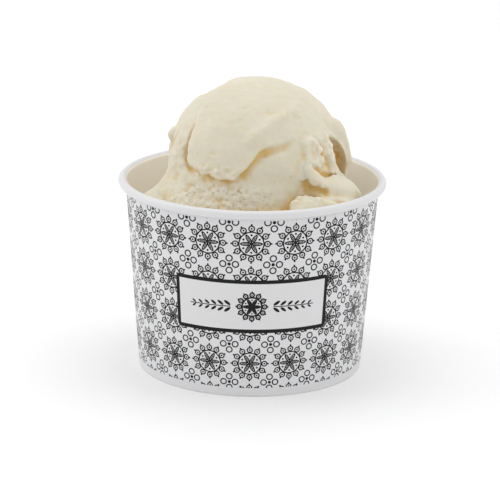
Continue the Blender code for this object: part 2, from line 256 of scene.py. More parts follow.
class Clay:
    """A block of signed distances that shapes are joined to and carved from."""

    def __init__(self, low, high, step):
        self.low = np.array(low, float)
        self.step = step
        counts = np.ceil((np.array(high) - self.low) / step).astype(int) + 1
        self.field = np.full(counts, FAR, np.float32)

    def near(self, low, high):
        """The part of the block between two corners: its slices, and its x, y and z."""
        first = np.floor((np.array(low) - self.low) / self.step).astype(int)
        last = np.ceil((np.array(high) - self.low) / self.step).astype(int) + 1
        first = np.clip(first, 0, self.field.shape)
        last = np.clip(last, 0, self.field.shape)
        window = tuple(slice(a, b) for a, b in zip(first, last))
        axes = [start + self.step * np.arange(a, b) for start, a, b in zip(self.low, first, last)]
        axes = [axis.astype(np.float32) for axis in axes]
        return window, np.meshgrid(*axes, indexing="ij", sparse=True)

    def whole(self):
        return self.near(self.low, self.low + self.step * np.array(self.field.shape))

    def join(self, shape, blend=1.0):
        room = blend * MM + 3 * self.step
        window, place = self.near(shape.low - room, shape.high + room)
        self.field[window] = smooth_min(self.field[window], shape.distance(place), blend * MM)

    def carve(self, shape, blend=1.0):
        room = blend * MM + 3 * self.step
        window, place = self.near(shape.low - room, shape.high + room)
        self.field[window] = smooth_max(self.field[window], -shape.distance(place), blend * MM)

    def fold(self, edge, layer, lean, soften=1.4, crease=0.8):
        """A layer that ends in a rolled edge: each stop of the edge is turn and rise in degrees.

        The layer lies to the left of the edge, seen from outside and going along it. The lean
        makes the edge hang over what is below it."""
        line = np.array([direction(turn, rise) for turn, rise in trail(edge)])
        window, place = self.near(layer.low - MM, layer.high + MM)
        field = self.field[window]
        ray = [p - c for p, c in zip(place, SCOOP_CENTRE)]
        size = np.sqrt(sum(r * r for r in ray)) + 1e-9
        ray = [r / size for r in ray]
        reach = np.full(size.shape, 9.0)
        side = np.zeros(size.shape)
        for a, b in zip(line[:-1], line[1:]):
            run = b - a
            along = np.clip(sum((p - s) * r for p, s, r in zip(ray, a, run)) / (run @ run), 0.0, 1.0)
            away = np.sqrt(sum((p - s - along * r) ** 2 for p, s, r in zip(ray, a, run)))
            beyond = sum(p * n for p, n in zip(ray, np.cross(a, b)))
            side = np.where(away < reach, np.sign(beyond), side)
            reach = np.minimum(reach, away)
        reach = reach * side * SCOOP_RADIUS + lean * np.clip(field, -2 * MM, 4 * MM)
        cut = smooth_max(layer.distance(place), -reach, soften * MM)
        self.field[window] = smooth_min(field, cut, crease * MM)

    def roughen(self, relief):
        """Move the surface in and out by the relief, a function of points that gives metres."""
        found = np.nonzero(np.abs(self.field) < 3 * self.step)
        points = self.low + self.step * np.stack(found, axis=1)
        self.field[found] += relief(points).astype(np.float32)

    def sample(self, points, field):
        """A field's values at the points, blended between the grid's corners."""
        place = (points - self.low) / self.step
        cell = np.clip(np.floor(place).astype(int), 0, np.array(field.shape) - 2)
        t = np.clip(place - cell, 0.0, 1.0)
        value = 0.0
        for corner in np.ndindex(2, 2, 2):
            share = np.prod(np.where(corner, t, 1 - t), axis=-1)
            i, j, k = (cell + corner).T
            value = value + share * field[i, j, k]
        return value

    def keep_inside(self, cup):
        """Cut the clay to the cup's inside, a little off its wall and its bottom."""
        window, place = self.whole()
        across = np.sqrt(place[0] ** 2 + place[1] ** 2)
        inner = cup.radius(place[2]) - cup.board - WALL_GAP
        self.field[window] = smooth_max(self.field[window], (across - inner) * cup.upright, 0.3 * MM)
        self.field[window] = smooth_max(self.field[window], base_high.z + BASE_GAP - place[2], 0.6 * MM)

    def hollowness(self, points, size):
        """How much clay is round each point, from 0 on a tip to 1 deep in a hole, within the size."""
        solid = np.clip(0.5 - self.field / self.step, 0.0, 1.0).astype(np.float32)
        span = max(1, int(round(size / self.step)))
        for _ in range(2):
            for axis in range(3):
                total = np.cumsum(solid, axis=axis, dtype=np.float32)
                ahead = np.roll(total, -span, axis=axis)
                behind = np.roll(total, span + 1, axis=axis)
                solid = (ahead - behind) / (2 * span + 1)
                solid = np.clip(solid, 0.0, 1.0)
        return self.sample(points, solid)

    def skin(self):
        """Wrap the clay in quads, with one corner in each cell that its surface crosses."""
        rings = []
        crossings = []
        for axis in range(3):
            lower = np.moveaxis(self.field, axis, 0)[:-1]
            upper = np.moveaxis(self.field, axis, 0)[1:]
            found = np.nonzero((lower < 0) != (upper < 0))
            a = lower[found]
            b = upper[found]
            place = np.insert(np.stack(found[1:], axis=1), axis, found[0], axis=1).astype(float)
            u = np.eye(3)[(axis + 1) % 3]
            v = np.eye(3)[(axis + 2) % 3]
            ring = place[:, None, :] - np.array([0 * u, u, u + v, v])
            ring[a >= 0] = ring[a >= 0][:, ::-1]
            place[:, axis] += a / (a - b)
            rings.append(ring.reshape(-1, 3).astype(int))
            crossings.append(np.repeat(place, 4, axis=0))
        cells = np.ravel_multi_index(np.concatenate(rings).T, self.field.shape)
        crossings = np.concatenate(crossings)
        _, corner = np.unique(cells, return_inverse=True)
        corner = corner.ravel()
        count = np.bincount(corner)
        points = [np.bincount(corner, crossings[:, i]) / count for i in range(3)]
        return self.low + self.step * np.stack(points, axis=1), corner.reshape(-1, 4)


def angles(points):
    """The turn and the rise, in degrees, at which the points lie from the scoop's centre."""
    ray = points - SCOOP_CENTRE
    turn = np.degrees(np.arctan2(ray[:, 0], -ray[:, 1]))
    rise = np.degrees(np.arctan2(ray[:, 2], np.hypot(ray[:, 0], ray[:, 1])))
    return turn, rise


def patch(points, turn, rise, half_turn, half_rise):
    """1 inside a patch of the scoop's surface and 0 away from it, with a soft edge between."""
    turns, rises = angles(points)
    round_by = (turns - turn + 180) % 360 - 180
    away = (round_by / half_turn) ** 4 + ((rises - rise) / half_rise) ** 4
    return np.exp(-away)


def porous_band(points):
    """Where the ice cream is open and porous: below the folds, at the front of the foot and behind."""
    front = patch(points, -22, -9, 34, 12)
    return np.maximum(front, 0.8 * patch(points, 158, -9, 52, 11))


def torn_edge(points):
    """Where the fold's lower edge is crumbly."""
    return patch(points, -27, 7, 21, 6)


def crags(points):
    """Where the ice cream is torn, on the right of the front."""
    return patch(points, 49, 19, 14, 13)


FOLD_EDGE = (
    (-58, 84), (-54, 62), (-52, 44), (-50.5, 33), (-50, 27), (-49.5, 22), (-49, 17), (-47.5, 12), (-45, 9),
    (-40, 7), (-31, 5.8), (-22, 4.8), (-16, 5.5), (-11, 9), (-6, 14), (-1, 20), (3, 24), (8, 26),
    (14, 25.5), (20, 27), (26, 30.5), (33, 34), (42, 38), (56, 48), (72, 62))


def shape_scoop(clay):
    """The scoop: a ball whose outer layer rolls over to the front in a lobe with a hanging edge."""
    clay.join(Lump(SCOOP_CENTRE / MM + (0.6, 0.0, 0.0), (29.4, 29.2, 29.5)))
    clay.join(Lump(SCOOP_CENTRE / MM + (-2.0, 0.4, 1.8), 28.0))
    clay.carve(scoop_roll((-155, 46, 6.2, 6.0), (-118, 56, 6.0, 6.0), (-80, 62, 6.4, 6.0)), 4.0)
    add_skirt(clay)
    add_left_side(clay)
    clay.fold(FOLD_EDGE, Lump(SCOOP_CENTRE / MM + (-2.4, -3.0, 2.2), 27.6), 0.45)
    clay.join(scoop_roll((-60, 62, -6.4, 7.6), (-61, 52, -6.2, 7.8), (-63, 42, -6.4, 7.8),
                         (-65, 34, -7.6, 7.5)), 4.0)
    open_fold(clay)
    add_right_lobe(clay)
    add_crags(clay)
    add_back(clay)
    flatten_seat(clay)


def add_skirt(clay):
    """The thicker band round the foot of the scoop, pressed out at the front and the left."""
    clay.join(scoop_roll((-80, -12, -5, 4), (-60, -9, -5, 5.8), (-42, -10, -4.5, 6.2),
                         (-25, -12, -4.5, 6.2), (-8, -13, -4.5, 6), (10, -13, -4.5, 5.5),
                         (28, -15, -4.5, 4.5)), 5.0)
    clay.join(scoop_roll((-70, -24, -4.4, 6), (-45, -24, -2.8, 6.2), (-20, -24, -2.2, 6.2),
                         (6, -24, -2.4, 6), (30, -24, -3.6, 5.5)), 4.0)
    clay.join(free_roll((-21.5, -6, 70, 5.5), (-24, -8, 66.5, 4.6), (-27, -10.5, 62.5, 4.6),
                        (-29, -12, 56, 6)), 3.5)
    clay.join(free_roll((-25, -11, 63.5, 4.2), (-23.5, -16, 61.5, 5), (-20, -21, 60, 5.4),
                        (-14, -24, 58, 5.4)), 4.0)


def add_left_side(clay):
    """The smooth column down the left and the small knob on its edge."""
    clay.join(scoop_roll((-84, 46, -6.0, 3.0), (-78, 36, -3.8, 3.6), (-71, 24, -3.0, 4.0),
                         (-67, 12, -3, 4.0), (-66, 0, -3.4, 4.2), (-68, -12, -3.4, 4.6)), 2.0)
    clay.carve(scoop_roll((-70, 31, 1.6, 0.4), (-70, 26, 1.1, 0.8), (-72, 21, 0.9, 1.0),
                          (-77, 17, 0.8, 1.1), (-84, 14, 1.0, 0.9), (-90, 14, 1.6, 0.4)), 1.0)
    clay.join(scoop_roll((-78, 29, -0.4, 1.2), (-80, 25, 0.1, 2.0), (-84, 21, 0.3, 2),
                         (-87, 18, -0.4, 1.3)), 0.4)


def open_fold(clay):
    """The crease and the pit at the fold's left end, and the shadow gap below its edge."""
    clay.carve(scoop_roll((-54, 33, 1.3, 0.6), (-54, 28, 0.3, 1.4), (-54, 24, -0.1, 1.6),
                          (-55, 20, -0.2, 1.5)), 0.8)
    clay.carve(scoop_roll((-55, 19, -0.2, 1.5), (-54.5, 15, -1.2, 2.1), (-52, 11, -1.7, 2.2),
                          (-48, 7.5, -0.3, 1.4), (-42, 5.5, 0.9, 0.8)), 0.8)
    clay.carve(scoop_roll((-46, 6, 1.0, 0.8), (-40, 4.5, 1.0, 0.6), (-28, 2.6, 1.2, 0.5),
                          (-18, 2.6, 0.9, 0.7), (-10, 6.5, 0.3, 0.9), (-1, 17, 0.1, 1.1),
                          (5, 22.5, -0.1, 1.5), (12, 24, 0.1, 1.2), (19, 25.5, 0.2, 0.9),
                          (27, 29.5, 0.5, 0.5)), 1.3)


def add_right_lobe(clay):
    """The lobe that hangs down the right, with a deep crevice between it and the ball."""
    clay.carve(scoop_roll((63, 27, 0.8, 0.6), (65, 22, -1.0, 2.4), (69, 15, -3.0, 4.7), (74, 8, -3.4, 5.3),
                          (80, 1, -3.0, 4.0)), 0.7)
    clay.join(scoop_roll((72, 33, -4.2, 3.6), (77, 31, -1.8, 3.8), (83, 26, -0.9, 3.0), (89, 16, -0.6, 2.0),
                         (89, 5, 0.0, 1.6)), 1.0)


def add_crags(clay):
    """Torn lumps on the right of the front, with upright ridges between them."""
    draw = np.random.default_rng(7)
    for _ in range(30):
        turn = draw.uniform(36, 60)
        rise = draw.uniform(10, 30)
        spot = on_scoop(turn, rise, draw.uniform(-2.0, -0.8)) / MM
        clay.join(Lump(spot, draw.uniform(1.1, 2.2, 3)), 0.9)
    clay.join(scoop_roll((43, 32, -1.5, 0.9), (47, 27, -0.9, 1.1), (44, 21, -0.6, 1.1), (47, 15, -0.5, 1)),
              1.4)
    clay.join(scoop_roll((55, 31, -1.4, 0.9), (57, 25, -0.7, 1.2), (55, 18, -0.5, 1.2), (56, 11, -0.5, 1)),
              1.4)
    clay.carve(scoop_roll((50, 30, 1.1, 0.4), (51, 26, 1.1, 0.7), (50, 21, 1.2, 0.4)), 0.9)
    clay.carve(scoop_roll((40, 24, 1.2, 0.4), (40, 20, 1.0, 0.7), (39, 16, 1.0, 0.6)), 0.9)


def add_back(clay):
    """The back, as a scoop leaves it: a soft slanting fold over a thicker, uneven foot."""
    clay.join(scoop_roll((112, 40, -4.6, 3), (138, 26, -3.9, 4), (165, 12, -3.8, 4.4), (192, 0, -4.2, 4.4),
                         (214, -12, -4.6, 4)), 3.5)
    clay.join(scoop_roll((100, -14, -5, 4), (124, -9, -4.8, 5.4), (150, -12, -4.4, 5.4),
                         (178, -16, -4.6, 5.2), (206, -10, -5, 5.4), (238, -13, -5, 5)), 4.0)
    clay.carve(scoop_roll((128, 9, 1.2, 0.6), (146, 2, 0.8, 1.0), (162, -3, 1.0, 0.8)), 2.0)


def flatten_seat(clay):
    """The underside, flattened where the scoop was pressed into the filling."""
    window, place = clay.whole()
    clay.field[window] = smooth_max(clay.field[window], scoop_low.z - place[2], 6 * MM)


def shape_filling(clay):
    """The ice cream that fills the cup below the scoop, with the lumps pressed up beside it."""
    clay.join(Lump((2, 2, -50), (180, 180, 100)), 1.0)
    clay.join(free_roll((-36, 4, 47, 5), (-27, 26, 48, 6), (-8, 36, 46, 6), (14, 35, 48.5, 5),
                        (31, 22, 47, 6), (37, 2, 50, 5)), 6.0)
    clay.join(free_roll((-34, -14, 51, 8), (-26, -25, 51.5, 8), (-10, -33, 52, 7), (10, -33, 53, 7),
                        (24, -28, 55, 8)), 6.0)
    clay.join(free_roll((-35, -5, 52.5, 4), (-33.5, -10, 58, 3.6), (-32, -14, 60, 3), (-28.5, -18, 57, 4)),
              4.0)
    clay.join(free_roll((18, -24.5, 74.5, 1.2), (20.5, -24.5, 71, 2), (23, -22.5, 67, 4.2),
                        (26.5, -19, 64.3, 6.5), (30, -14, 61.5, 6.5), (32, -9, 56, 6)), 2.0)
    clay.join(free_roll((15, -34.5, 60.8, 3.4), (19, -32, 62.8, 4.1), (26, -28, 61.5, 4.8),
                        (31.5, -22, 59.5, 4.5)), 1.6)


def open_right(clay):
    """The crevice below the torn part, and the hollow and the groove between the lumps on the right."""
    clay.carve(scoop_roll((29, 3, 1.4, 0.5), (31, 1, 0.4, 1.5), (33.5, -0.5, 0.8, 1.4), (37, -1.5, 2.4, 1),
                          (41, -3, 4.2, 0.8)), 1.2)
    clay.carve(free_roll((20, -29, 68.6, 1.2), (23.5, -29.5, 67.9, 1.2), (27, -29, 66, 1.1),
                         (30, -28, 63.5, 0.9)), 1.6)
    clay.carve(scoop_roll((37, 11.5, 1.1, 0.4), (40, 9, 0.8, 0.8), (44, 6.5, 0.5, 1.2), (49, 4.5, 0.5, 1.0),
                          (56, 3, 0.7, 0.6)), 0.9)


def add_crumbs(whole):
    """Crumbs on the small lump at the front of the right side."""
    draw = np.random.default_rng(5)
    for _ in range(46):
        spot = (draw.uniform(14, 22), draw.uniform(-35, -30), draw.uniform(62, 66.4))
        whole.join(Lump(spot, draw.uniform(0.8, 1.7)), 0.6)


def surface_relief(points):
    """The surface's unevenness: slight all over, stronger where it is porous, crumbly or torn."""
    slight = 0.30 * noise(points, 9 * MM, 2) + 0.22 * noise(points, 4.5 * MM, 3)
    slight = slight + 0.12 * noise(points, 2.0 * MM, 4) + 0.10 * noise(points, 1.0 * MM, 5)
    open_grain = 0.5 * noise(points, 1.8 * MM, 6) + 0.5 * noise(points, 0.9 * MM, 7)
    crumbs = 0.8 * noise(points, 2.6 * MM, 8) + 0.8 * noise(points, 1.2 * MM, 9)
    upright = points * (1.0, 1.0, 0.75)
    ridges = 0.7 * noise(upright, 2.7 * MM, 10) + 0.9 * noise(upright, 1.4 * MM, 11)
    crumbly = np.maximum(torn_edge(points), 0.7 * patch(points, 33, 0, 9, 7))
    crumbly = np.maximum(crumbly, 0.8 * patch(points, 143, 14, 20, 6))
    crumbly = np.maximum(crumbly, 0.6 * patch(points, -58, 12, 9, 14))
    depth = SCOOP_RADIUS - np.linalg.norm(points - SCOOP_CENTRE, axis=1)
    crumbly = np.maximum(crumbly, 0.7 * np.clip(depth / MM - 1.2, 0.0, 1.0))
    relief = slight + 0.7 * porous_band(points) * open_grain + 0.7 * crumbly * crumbs
    return (relief + crags(points) * ridges) * MM


def dress_back(whole):
    """The crease below the slanting fold on the back, and two shallow marks of the scoop's edge."""
    whole.carve(scoop_roll((106, 30, 1.3, 0.3), (121, 21, 0.9, 0.8), (137, 12, 0.4, 1.3),
                           (152, 4, 0.2, 1.5), (168, -4, 0.6, 1.1), (186, -10, 1.2, 0.4)), 0.9)
    whole.carve(scoop_roll((170, 52, 2.2, 0.3), (196, 44, 1.5, 0.6), (218, 32, 1.3, 0.6),
                           (232, 18, 1.9, 0.3)), 1.6)
    whole.carve(scoop_roll((206, 10, 1.6, 0.3), (218, 2, 0.9, 0.8), (230, -5, 1.0, 0.6),
                           (240, -9, 1.7, 0.3)), 1.4)


def dress_dome(whole):
    """The dome's faint marks: a slanting ridge, a crease along its right shoulder and two dimples."""
    whole.join(scoop_roll((50, 56, -1.0, 0.4), (34, 50, -0.3, 0.5), (16, 44, 0.2, 0.6), (2, 36, 0.6, 0.6),
                          (-6, 29, 0.8, 0.4)), 3.2)
    whole.carve(scoop_roll((34, 60, 1.2, 0.2), (52, 58, 0.7, 0.4), (64, 52, 0.5, 0.5), (64, 44, 0.8, 0.3)),
                1.8)
    whole.carve(scoop_roll((-8, 52, 2.2, 0.4), (-12, 51, 2.0, 0.6), (-16, 51, 2.3, 0.3)), 1.2)
    whole.carve(scoop_roll((-24, 20, 2.4, 0.2), (-30, 19.5, 2.1, 0.5), (-34, 19.5, 2.4, 0.2)), 0.7)


class CupShape:
    """The paper cup's lines, worked out from its sizes."""

    def __init__(self, sizes):
        self.board = sizes.board
        self.roll = sizes.roll
        self.hem = sizes.hem
        self.lap = sizes.lap
        self.roll_centre = sizes.rim_diameter / 2 - sizes.roll
        self.neck_height = sizes.height - sizes.roll
        self.foot = sizes.foot_diameter / 2
        self.neck = self.roll_centre - self.roll + self.board
        self.slope = (self.neck - self.foot) / self.neck_height
        self.upright = 1 / math.sqrt(1 + self.slope ** 2)

    def radius(self, height):
        """Outer radius of the side wall, which is a plain cone."""
        return self.foot + self.slope * height


def new_piece(name, mesh, material, slot, *nodes):
    """Put a finished mesh on the cup's body in place of its plain solids."""
    mesh.materials.append(material)
    piece = bpy.data.objects.new(name, mesh)
    bpy.context.scene.collection.objects.link(piece)
    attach(piece, "root")
    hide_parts(*nodes)
    return piece


def turned_mesh(name, profile, steps, swell=None, closed=True):
    """A profile of radii and heights turned round Z. Swell gives a point's extra radius by its turn."""
    profile = np.array(profile)
    turns = np.arange(steps) * 2 * math.pi / steps
    radii = np.repeat(profile[None, :, 0], steps, axis=0)
    if swell is not None:
        radii = radii + swell(turns[:, None], profile[None, :, 0], profile[None, :, 1])
    across = np.stack([radii * np.sin(turns)[:, None], -radii * np.cos(turns)[:, None]], axis=2)
    heights = np.repeat(profile[None, :, 1], steps, axis=0)[:, :, None]
    points = np.concatenate([across, heights], axis=2).reshape(-1, 3)
    count = len(profile)
    rows = range(count if closed else count - 1)
    faces = []
    for i in range(steps):
        here = i * count
        there = (i + 1) % steps * count
        faces.extend((here + j, here + (j + 1) % count, there + (j + 1) % count, there + j) for j in rows)
    mesh = bpy.data.meshes.new(name)
    mesh.from_pydata(points.tolist(), [], faces)
    shape = bmesh.new()
    shape.from_mesh(mesh)
    bmesh.ops.remove_doubles(shape, verts=shape.verts, dist=1e-6)
    bmesh.ops.recalc_face_normals(shape, faces=shape.faces)
    shape.to_mesh(mesh)
    shape.free()
    mesh.shade_smooth()
    mesh.set_sharp_from_angle(angle=math.radians(40))
    return mesh


class Wire:
    """A node's output, with the operators that shader maths needs."""

    def __init__(self, paint, socket):
        self.paint = paint
        self.socket = socket

    def math(self, operation, *others):
        return self.paint.node("Math", {"operation": operation}, [self, *others])

    def __add__(self, other):
        return self.math("ADD", other)

    def __sub__(self, other):
        return self.math("SUBTRACT", other)

    def __rsub__(self, other):
        return self.paint.node("Math", {"operation": "SUBTRACT"}, [other, self])

    def __mul__(self, other):
        return self.math("MULTIPLY", other)

    def __truediv__(self, other):
        return self.math("DIVIDE", other)

    def __mod__(self, other):
        return self.math("FLOORED_MODULO", other)

    def __pow__(self, other):
        return self.math("POWER", other)

    def __lt__(self, other):
        return self.math("LESS_THAN", other)

    def __gt__(self, other):
        return self.math("GREATER_THAN", other)

    def __or__(self, other):
        return self.math("MAXIMUM", other)

    def __and__(self, other):
        return self.math("MINIMUM", other)

    def __abs__(self):
        return self.math("ABSOLUTE")

    __radd__ = __add__
    __rmul__ = __mul__

    def between(self, low, high):
        """0 up to low, 1 from high, and an even slope between them."""
        limits = {"Value": self, "From Min": low, "From Max": high}
        return self.paint.node("MapRange", {"clamp": True}, limits)


class Paint:
    """One material's nodes, with the principled shader that they feed."""

    def __init__(self, name, roughness):
        self.material = bpy.data.materials.new(name)
        self.material.use_nodes = True
        self.nodes = self.material.node_tree.nodes
        self.links = self.material.node_tree.links
        self.shader = self.nodes["Principled BSDF"]
        self.shader.inputs["Roughness"].default_value = roughness

    def node(self, kind, settings, inputs, output=0):
        """Add a node: its type, its settings, which are set first, and its sockets' values or links."""
        node = self.nodes.new("ShaderNode" + kind)
        for name, value in settings.items():
            setattr(node, name, value)
        pairs = inputs.items() if isinstance(inputs, dict) else enumerate(inputs)
        for name, value in pairs:
            self.plug(node.inputs[name], value)
        return Wire(self, node.outputs[output])

    def plug(self, socket, value):
        if isinstance(value, Wire):
            self.links.new(value.socket, socket)
        else:
            socket.default_value = value

    def feed(self, name, value):
        """Link or set one socket of the shader."""
        self.plug(self.shader.inputs[name], value)

    def place(self):
        """The x, y and z of the point on the object, in metres."""
        spot = self.node("TexCoord", {}, {}, "Object")
        return [self.node("SeparateXYZ", {}, [spot], axis) for axis in "XYZ"]

    def mix(self, factor, first, second):
        """A colour between two colours."""
        return self.node("Mix", {"data_type": "RGBA"}, {0: factor, 6: first, 7: second}, 2)

    def attribute(self, name):
        return self.node("Attribute", {"attribute_name": name}, {}, "Fac")

    def noise(self, scale, detail=2.0, roughness=0.5):
        spot = self.node("TexCoord", {}, {}, "Object")
        settings = {"Vector": spot, "Scale": scale, "Detail": detail, "Roughness": roughness}
        return self.node("TexNoise", {}, settings)

    def bump(self, height, distance, strength=1.0):
        settings = {"Height": height, "Distance": distance, "Strength": strength}
        self.feed("Normal", self.node("Bump", {}, settings))


def opaque(colour):
    return (*colour, 1.0)


def circle_line(across, up, middle, radius, half):
    """Mask of a thin circle round a middle."""
    away = ((across - middle[0]) ** 2 + (up - middle[1]) ** 2) ** 0.5
    return abs(away - radius) < half


def disc(across, up, middle, radius):
    """Mask of a filled disc."""
    return ((across - middle[0]) ** 2 + (up - middle[1]) ** 2) < radius * radius


def fan(turn, reach, count):
    """Fold a turn into one of so many equal sectors. Gives the point along and off the sector's axis."""
    sector = 2 * math.pi / count
    folded = (turn + sector / 2) % sector - sector / 2
    return reach * folded.math("COSINE"), abs(reach * folded.math("SINE"))


def rosette(across, up, half):
    """A compass-drawn rosette of radius 1: six leaves in a ring, and a border of twelve loops."""
    leaf = 0.56
    seed_reach = 0.46
    seed = 0.055
    vein_start = 0.14
    vein_end = 0.40
    ring_radius = 0.62
    loop_reach = 0.80
    loop = 0.135
    bead = 0.05
    core = 0.075
    reach = (across ** 2 + up ** 2) ** 0.5
    turn = up.math("ARCTAN2", across)
    along, off = fan(turn, reach, 6)
    inside = reach < leaf
    leaves = circle_line(along, off, (leaf / 2, -leaf * math.sqrt(3) / 2), leaf, half) & inside
    veins = (off < half * 0.7) & (reach < vein_end) & (reach > vein_start)
    seeds = disc(along, off, (seed_reach * math.cos(math.pi / 6), seed_reach / 2), seed)
    ring = abs(reach - ring_radius) < half
    along12, off12 = fan(turn, reach, 12)
    loops = circle_line(along12, off12, (loop_reach, 0.0), loop, half)
    beads = disc(along12, off12, (loop_reach, 0.0), bead)
    tips = disc(along12, off12, (1.0, 0.0), bead)
    centre = reach < core
    return leaves | veins | seeds | ring | loops | beads | tips | centre


def floret(across, up, half):
    """A small flower of four open petals round a dot."""
    petal_reach = 0.145
    petal = 0.07
    dot = 0.04
    reach = (across ** 2 + up ** 2) ** 0.5
    along, off = fan(up.math("ARCTAN2", across), reach, 4)
    petals = circle_line(along, off, (petal_reach, 0.0), petal, half)
    return petals | (reach < dot)


def sprig(along, off, reach):
    """A laurel sprig along a stem, with pairs of filled leaves that get smaller to the tip."""
    pitch = 2.3 * MM
    taper = 0.45
    lean = math.radians(38)
    leaf_side = 1.25 * MM
    leaf_half_length = 1.35 * MM
    leaf_half_width = 0.52 * MM
    stem_half_width = 0.16 * MM
    local = (along % pitch) - 0.5 * pitch
    size = 1.0 - taper * (along / reach)
    side = off - leaf_side * size
    leaf_long = local * math.cos(lean) + side * math.sin(lean)
    leaf_wide = side * math.cos(lean) - local * math.sin(lean)
    leaf = (leaf_long / (leaf_half_length * size)) ** 2 + (leaf_wide / (leaf_half_width * size)) ** 2
    stem = off < stem_half_width
    return ((leaf < 1.0) | stem) & (along > 0.0) & (along < reach)


def printed_paper(cup, look):
    """White coated board with a black print: rosettes in upright columns, and an outlined panel."""
    paint = Paint("printed_paper", 0.38)
    x, y, z = paint.place()
    radius = (x ** 2 + y ** 2) ** 0.5
    turn = x.math("ARCTAN2", 0.0 - y)
    middle = cup.radius(0.5 * (look.low + look.high))
    tilt = math.sin(math.atan(cup.slope))
    per_turn = look.columns / (2 * math.pi)
    column = turn * per_turn
    row = (cup.radius(z) / middle).math("LOGARITHM", math.e) * (per_turn / tilt) + 0.5
    pitch = middle / per_turn
    share = 0.45
    half = 0.5 * look.line / (share * pitch)
    cell_across = (column + 0.5) % 1.0 - 0.5
    cell_up = (row + 0.5) % 1.0 - 0.5
    medallions = rosette(cell_across / share, cell_up / share, half)
    gap_across = column % 1.0 - 0.5
    gap_up = row % 1.0 - 0.5
    florets = floret(gap_across, gap_up, half * share)
    band = (z > look.low) & (z < look.high)
    pattern = (medallions | florets) & band
    panel_middle = 0.5 * (look.panel_low + look.panel_high)
    panel_radius = cup.radius(panel_middle)
    panel_across = abs(turn - PANEL_SHIFT) * panel_radius
    panel_up = abs(z - panel_middle)
    corner = 1.5 * MM
    over_across = (panel_across - (look.panel_turn * panel_radius - corner)) | 0.0
    over_up = (panel_up - (0.5 * (look.panel_high - look.panel_low) - corner)) | 0.0
    beyond = (over_across ** 2 + over_up ** 2) ** 0.5 - corner
    outline = (beyond < 0.0) & (beyond > -look.outline)
    panel = beyond < 0.0
    emblem_size = 5.2 * MM
    emblem_half = 0.62 * look.line / emblem_size
    emblem_across = (turn - PANEL_SHIFT) * (panel_radius / emblem_size)
    emblem = rosette(emblem_across, (z - panel_middle) / emblem_size, emblem_half)
    sprig_start = 7.0 * MM
    sprig_length = 14.0 * MM
    sprigs = sprig(panel_across - sprig_start, panel_up, sprig_length)
    inner = (emblem | sprigs) & panel
    outside = radius > cup.radius(z) - 0.5 * cup.board
    ink = ((pattern & (1.0 - panel)) | outline | inner) & outside
    # Painted light: the inner face gets the lighter, warmer colour of light bounced from the ice cream.
    bare = paint.mix(outside, opaque(look.inside), opaque(look.paper))
    paint.feed("Base Color", paint.mix(ink, bare, opaque(look.ink)))
    paint.feed("Coat Weight", 0.25 * (1.0 - ink))
    paint.feed("Coat Roughness", 0.18)
    paint.feed("Specular IOR Level", 0.22)
    paint.bump(paint.noise(900.0, 3.0) + paint.noise(120.0, 1.0), 0.00002, 0.5)
    return paint.material


def plain_paper(look):
    """The coated board of the bottom disc, without print."""
    paint = Paint("plain_paper", 0.45)
    speck = paint.noise(400.0, 3.0).between(0.3, 0.7)
    warm = tuple(0.95 * c for c in look.paper)
    paint.feed("Base Color", paint.mix(speck, opaque(warm), opaque(look.paper)))
    paint.bump(paint.noise(900.0, 3.0), 0.00002, 0.5)
    return paint.material


def pores(paint, size, reach):
    """Small round holes of uneven sizes, at most so wide: 1 in a hole and 0 outside."""
    spot = paint.node("TexCoord", {}, {}, "Object")
    sway = paint.node("TexNoise", {}, {"Vector": spot, "Scale": 1.2 / size, "Detail": 1.0}, "Color")
    spot = paint.node("VectorMath", {"operation": "MULTIPLY_ADD"}, [sway, (0.6 * size,) * 3, spot])
    settings = {"Vector": spot, "Scale": 1 / size}
    away = paint.node("TexVoronoi", {}, settings, "Distance")
    draw = paint.node("TexVoronoi", {}, settings, "Color")
    chance = paint.node("SeparateColor", {}, [draw], "Red")
    radius = (0.35 + 0.65 * chance) * (reach / size)
    return (radius - away).between(0.0, 0.5 * reach / size) * (chance > 0.3)


def ice_cream(cream):
    """Matte vanilla ice cream: pale on the open surface, with painted warm shade deep in its hollows,
    painted shade in its pores and painted light on its tips and porous band.
    """
    paint = Paint("ice_cream", 0.55)
    # How hollow and how deep each point lies. These drive the painted shade.
    hollow = paint.attribute("hollow")
    wide = paint.attribute("wide_hollow_shade")
    sunk_shade = paint.attribute("sunk_shade")
    porous = paint.attribute("porous")
    torn = paint.attribute("torn")
    cloud = paint.noise(150.0, 3.0, 0.6).between(0.3, 0.7)
    pale = tuple(min(1.0, c * s) for c, s in zip(cream.cream, (1.03, 1.04, 1.08)))
    base = paint.mix(cloud, opaque(cream.cream), opaque(pale))
    # Painted highlight on the tips of porous and torn parts, and painted light over the whole porous band.
    crest_highlight = (0.46 - hollow).between(0.0, 0.12) * (porous | torn)
    base = paint.mix(crest_highlight * 0.6 | porous * 0.35, base, opaque(cream.crest_highlight))
    large = pores(paint, 1.7 * MM, 0.62 * MM)
    small = pores(paint, 1.1 * MM, 0.40 * MM)
    specks = pores(paint, 3.4 * MM, 0.60 * MM)
    holes = (large | small) * porous.between(0.25, 0.8) | specks * 0.35
    # Painted shade: warm amber mixed in deep in hollows, wide hollows and sunk parts.
    depth = hollow.between(0.52, 0.67) * 0.55 + wide.between(0.50, 0.66) * 0.6 + sunk_shade * 0.5
    base = paint.mix(depth & (0.8 + 0.2 * cloud), base, opaque(cream.hollow))
    # Painted shade: the pores and pits are darkened where shade falls in them. Their dents are in the bump
    # below.
    paint.feed("Base Color", paint.mix(holes * 0.6, base, opaque(cream.pore_shade)))
    paint.feed("Subsurface Weight", 0.5)
    paint.feed("Subsurface Radius", (1.0, 0.62, 0.30))
    paint.feed("Subsurface Scale", 0.0025)
    paint.feed("Specular IOR Level", 0.3)
    grain = paint.noise(1300.0, 3.0, 0.6)
    waves = paint.noise(420.0, 3.0, 0.6)
    paint.bump(grain * (0.4 + 0.5 * porous) + waves - 0.8 * holes, cream.grain, 1.0)
    return paint.material


